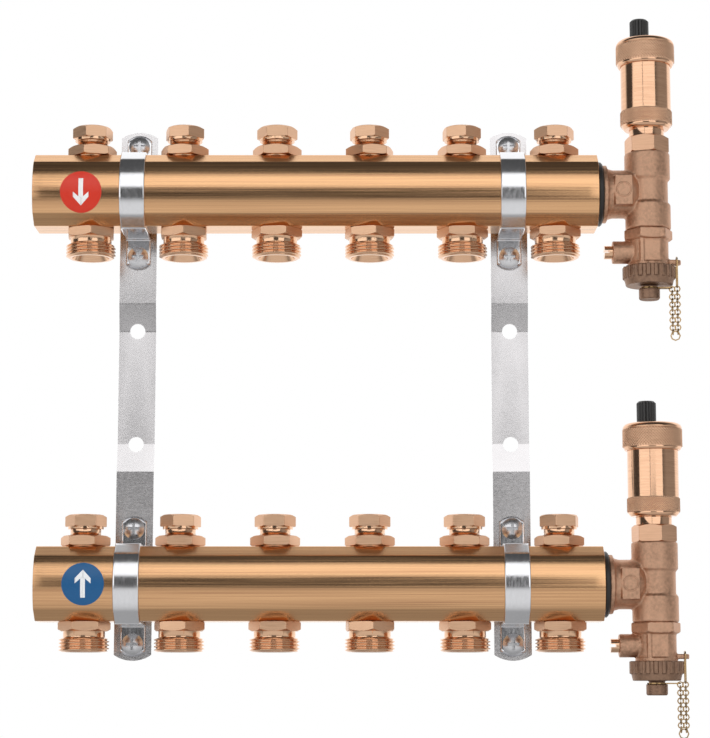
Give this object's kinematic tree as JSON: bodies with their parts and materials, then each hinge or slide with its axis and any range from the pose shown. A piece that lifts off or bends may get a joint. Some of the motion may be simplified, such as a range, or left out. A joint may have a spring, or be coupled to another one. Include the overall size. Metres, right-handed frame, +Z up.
{
  "type": "heating distribution manifold",
  "caption": "Wall-mounted heating manifold: supply and return bars on two brackets, capped valves, threaded outlets, end air vents and drain valves.",
  "frame": {"origin": "centre of the four wall holes in the brackets, on the wall", "axes": "+X from the open ends of the bars to the tees, +Y into the wall, +Z up towards the supply bar"},
  "size_m": [0.3469, 0.0476, 0.3875],
  "materials": {
    "bar_brass": "extruded, brushed along its length",
    "turned_brass": "turned and milled, bright",
    "cast_brass": "cast, fine-grained and matt",
    "vent_brass": "turned and polished, knurled rims",
    "zinc_steel": "bright zinc plate",
    "black_plastic": "satin moulded",
    "black_rubber": "smooth",
    "float_plastic": "moulded",
    "red_label": "printed film",
    "blue_label": "printed film"
  },
  "bodies": {
    "manifold": {"bracket_left": "zinc_steel", "bracket_right": "zinc_steel", "clamp_screws": "zinc_steel", "supply_bar": "bar_brass", "supply_flow_disc": "red_label", "supply_clamp_left": "zinc_steel", "supply_clamp_right": "zinc_steel", "supply_valve_inserts": "turned_brass", "supply_outlet_nipples": "turned_brass", "supply_end_tee": "cast_brass", "supply_tee_seal": "black_rubber", "supply_vent_body": "vent_brass", "supply_vent_lid": "vent_brass", "supply_drain_body": "cast_brass", "supply_keeper_chain": "turned_brass", "return_bar": "bar_brass", "return_flow_disc": "blue_label", "return_clamp_left": "zinc_steel", "return_clamp_right": "zinc_steel", "return_valve_inserts": "turned_brass", "return_outlet_nipples": "turned_brass", "return_end_tee": "cast_brass", "return_tee_seal": "black_rubber", "return_vent_body": "vent_brass", "return_vent_lid": "vent_brass", "return_drain_body": "cast_brass", "return_keeper_chain": "turned_brass"},
    "supply_spindle_1": {"supply_spindle_1": "turned_brass"},
    "supply_valve_cap_1": {"supply_valve_cap_1": "turned_brass"},
    "supply_spindle_2": {"supply_spindle_2": "turned_brass"},
    "supply_valve_cap_2": {"supply_valve_cap_2": "turned_brass"},
    "supply_spindle_3": {"supply_spindle_3": "turned_brass"},
    "supply_valve_cap_3": {"supply_valve_cap_3": "turned_brass"},
    "supply_spindle_4": {"supply_spindle_4": "turned_brass"},
    "supply_valve_cap_4": {"supply_valve_cap_4": "turned_brass"},
    "supply_spindle_5": {"supply_spindle_5": "turned_brass"},
    "supply_valve_cap_5": {"supply_valve_cap_5": "turned_brass"},
    "supply_spindle_6": {"supply_spindle_6": "turned_brass"},
    "supply_valve_cap_6": {"supply_valve_cap_6": "turned_brass"},
    "supply_vent_dust_cap": {"supply_vent_dust_cap": "black_plastic"},
    "supply_vent_float": {"supply_vent_float": "float_plastic"},
    "supply_drain_stem": {"supply_drain_stem": "turned_brass"},
    "supply_drain_cap": {"supply_drain_cap": "cast_brass"},
    "return_spindle_1": {"return_spindle_1": "turned_brass"},
    "return_valve_cap_1": {"return_valve_cap_1": "turned_brass"},
    "return_spindle_2": {"return_spindle_2": "turned_brass"},
    "return_valve_cap_2": {"return_valve_cap_2": "turned_brass"},
    "return_spindle_3": {"return_spindle_3": "turned_brass"},
    "return_valve_cap_3": {"return_valve_cap_3": "turned_brass"},
    "return_spindle_4": {"return_spindle_4": "turned_brass"},
    "return_valve_cap_4": {"return_valve_cap_4": "turned_brass"},
    "return_spindle_5": {"return_spindle_5": "turned_brass"},
    "return_valve_cap_5": {"return_valve_cap_5": "turned_brass"},
    "return_spindle_6": {"return_spindle_6": "turned_brass"},
    "return_valve_cap_6": {"return_valve_cap_6": "turned_brass"},
    "return_vent_dust_cap": {"return_vent_dust_cap": "black_plastic"},
    "return_vent_float": {"return_vent_float": "float_plastic"},
    "return_drain_stem": {"return_drain_stem": "turned_brass"},
    "return_drain_cap": {"return_drain_cap": "cast_brass"}
  },
  "joints": [
    {"name": "supply_spindle_1_turn", "type": "hinge", "parent": "manifold", "child": "supply_spindle_1", "pos_m": [-0.125, -0.02555, 0.1022], "axis": [0, 0, 1], "range_deg": [0, 1260]},
    {"name": "supply_valve_cap_1_turn", "type": "hinge", "parent": "manifold", "child": "supply_valve_cap_1", "pos_m": [-0.125, -0.02555, 0.1022], "axis": [0, 0, 1], "range_deg": [0, 1170]},
    {"name": "supply_spindle_2_turn", "type": "hinge", "parent": "manifold", "child": "supply_spindle_2", "pos_m": [-0.075, -0.02555, 0.1022], "axis": [0, 0, 1], "range_deg": [0, 1260]},
    {"name": "supply_valve_cap_2_turn", "type": "hinge", "parent": "manifold", "child": "supply_valve_cap_2", "pos_m": [-0.075, -0.02555, 0.1022], "axis": [0, 0, 1], "range_deg": [0, 1170]},
    {"name": "supply_spindle_3_turn", "type": "hinge", "parent": "manifold", "child": "supply_spindle_3", "pos_m": [-0.025, -0.02555, 0.1022], "axis": [0, 0, 1], "range_deg": [0, 1260]},
    {"name": "supply_valve_cap_3_turn", "type": "hinge", "parent": "manifold", "child": "supply_valve_cap_3", "pos_m": [-0.025, -0.02555, 0.1022], "axis": [0, 0, 1], "range_deg": [0, 1170]},
    {"name": "supply_spindle_4_turn", "type": "hinge", "parent": "manifold", "child": "supply_spindle_4", "pos_m": [0.025, -0.02555, 0.1022], "axis": [0, 0, 1], "range_deg": [0, 1260]},
    {"name": "supply_valve_cap_4_turn", "type": "hinge", "parent": "manifold", "child": "supply_valve_cap_4", "pos_m": [0.025, -0.02555, 0.1022], "axis": [0, 0, 1], "range_deg": [0, 1170]},
    {"name": "supply_spindle_5_turn", "type": "hinge", "parent": "manifold", "child": "supply_spindle_5", "pos_m": [0.075, -0.02555, 0.1022], "axis": [0, 0, 1], "range_deg": [0, 1260]},
    {"name": "supply_valve_cap_5_turn", "type": "hinge", "parent": "manifold", "child": "supply_valve_cap_5", "pos_m": [0.075, -0.02555, 0.1022], "axis": [0, 0, 1], "range_deg": [0, 1170]},
    {"name": "supply_spindle_6_turn", "type": "hinge", "parent": "manifold", "child": "supply_spindle_6", "pos_m": [0.125, -0.02555, 0.1022], "axis": [0, 0, 1], "range_deg": [0, 1260]},
    {"name": "supply_valve_cap_6_turn", "type": "hinge", "parent": "manifold", "child": "supply_valve_cap_6", "pos_m": [0.125, -0.02555, 0.1022], "axis": [0, 0, 1], "range_deg": [0, 1170]},
    {"name": "supply_vent_dust_cap_turn", "type": "hinge", "parent": "manifold", "child": "supply_vent_dust_cap", "pos_m": [0.1723, -0.02555, 0.1022], "axis": [0, 0, 1], "range_deg": [0, 540]},
    {"name": "supply_vent_float_lift", "type": "slide", "parent": "manifold", "child": "supply_vent_float", "axis": [0, 0, 1], "range_m": [0, 0.003]},
    {"name": "supply_drain_stem_turn", "type": "hinge", "parent": "manifold", "child": "supply_drain_stem", "pos_m": [0.1752, -0.02555, 0.0702], "axis": [1, 0, 0], "range_deg": [0, 90]},
    {"name": "supply_drain_cap_turn", "type": "hinge", "parent": "manifold", "child": "supply_drain_cap", "pos_m": [0.1752, -0.02555, 0.1022], "axis": [0, 0, 1], "range_deg": [0, 990]},
    {"name": "return_spindle_1_turn", "type": "hinge", "parent": "manifold", "child": "return_spindle_1", "pos_m": [-0.125, -0.02555, -0.1078], "axis": [0, 0, 1], "range_deg": [0, 1260]},
    {"name": "return_valve_cap_1_turn", "type": "hinge", "parent": "manifold", "child": "return_valve_cap_1", "pos_m": [-0.125, -0.02555, -0.1078], "axis": [0, 0, 1], "range_deg": [0, 1170]},
    {"name": "return_spindle_2_turn", "type": "hinge", "parent": "manifold", "child": "return_spindle_2", "pos_m": [-0.075, -0.02555, -0.1078], "axis": [0, 0, 1], "range_deg": [0, 1260]},
    {"name": "return_valve_cap_2_turn", "type": "hinge", "parent": "manifold", "child": "return_valve_cap_2", "pos_m": [-0.075, -0.02555, -0.1078], "axis": [0, 0, 1], "range_deg": [0, 1170]},
    {"name": "return_spindle_3_turn", "type": "hinge", "parent": "manifold", "child": "return_spindle_3", "pos_m": [-0.025, -0.02555, -0.1078], "axis": [0, 0, 1], "range_deg": [0, 1260]},
    {"name": "return_valve_cap_3_turn", "type": "hinge", "parent": "manifold", "child": "return_valve_cap_3", "pos_m": [-0.025, -0.02555, -0.1078], "axis": [0, 0, 1], "range_deg": [0, 1170]},
    {"name": "return_spindle_4_turn", "type": "hinge", "parent": "manifold", "child": "return_spindle_4", "pos_m": [0.025, -0.02555, -0.1078], "axis": [0, 0, 1], "range_deg": [0, 1260]},
    {"name": "return_valve_cap_4_turn", "type": "hinge", "parent": "manifold", "child": "return_valve_cap_4", "pos_m": [0.025, -0.02555, -0.1078], "axis": [0, 0, 1], "range_deg": [0, 1170]},
    {"name": "return_spindle_5_turn", "type": "hinge", "parent": "manifold", "child": "return_spindle_5", "pos_m": [0.075, -0.02555, -0.1078], "axis": [0, 0, 1], "range_deg": [0, 1260]},
    {"name": "return_valve_cap_5_turn", "type": "hinge", "parent": "manifold", "child": "return_valve_cap_5", "pos_m": [0.075, -0.02555, -0.1078], "axis": [0, 0, 1], "range_deg": [0, 1170]},
    {"name": "return_spindle_6_turn", "type": "hinge", "parent": "manifold", "child": "return_spindle_6", "pos_m": [0.125, -0.02555, -0.1078], "axis": [0, 0, 1], "range_deg": [0, 1260]},
    {"name": "return_valve_cap_6_turn", "type": "hinge", "parent": "manifold", "child": "return_valve_cap_6", "pos_m": [0.125, -0.02555, -0.1078], "axis": [0, 0, 1], "range_deg": [0, 1170]},
    {"name": "return_vent_dust_cap_turn", "type": "hinge", "parent": "manifold", "child": "return_vent_dust_cap", "pos_m": [0.1723, -0.02555, -0.1078], "axis": [0, 0, 1], "range_deg": [0, 540]},
    {"name": "return_vent_float_lift", "type": "slide", "parent": "manifold", "child": "return_vent_float", "axis": [0, 0, 1], "range_m": [0, 0.003]},
    {"name": "return_drain_stem_turn", "type": "hinge", "parent": "manifold", "child": "return_drain_stem", "pos_m": [0.1752, -0.02555, -0.1398], "axis": [1, 0, 0], "range_deg": [0, 90]},
    {"name": "return_drain_cap_turn", "type": "hinge", "parent": "manifold", "child": "return_drain_cap", "pos_m": [0.1752, -0.02555, -0.1078], "axis": [0, 0, 1], "range_deg": [0, 990]}
  ]
}
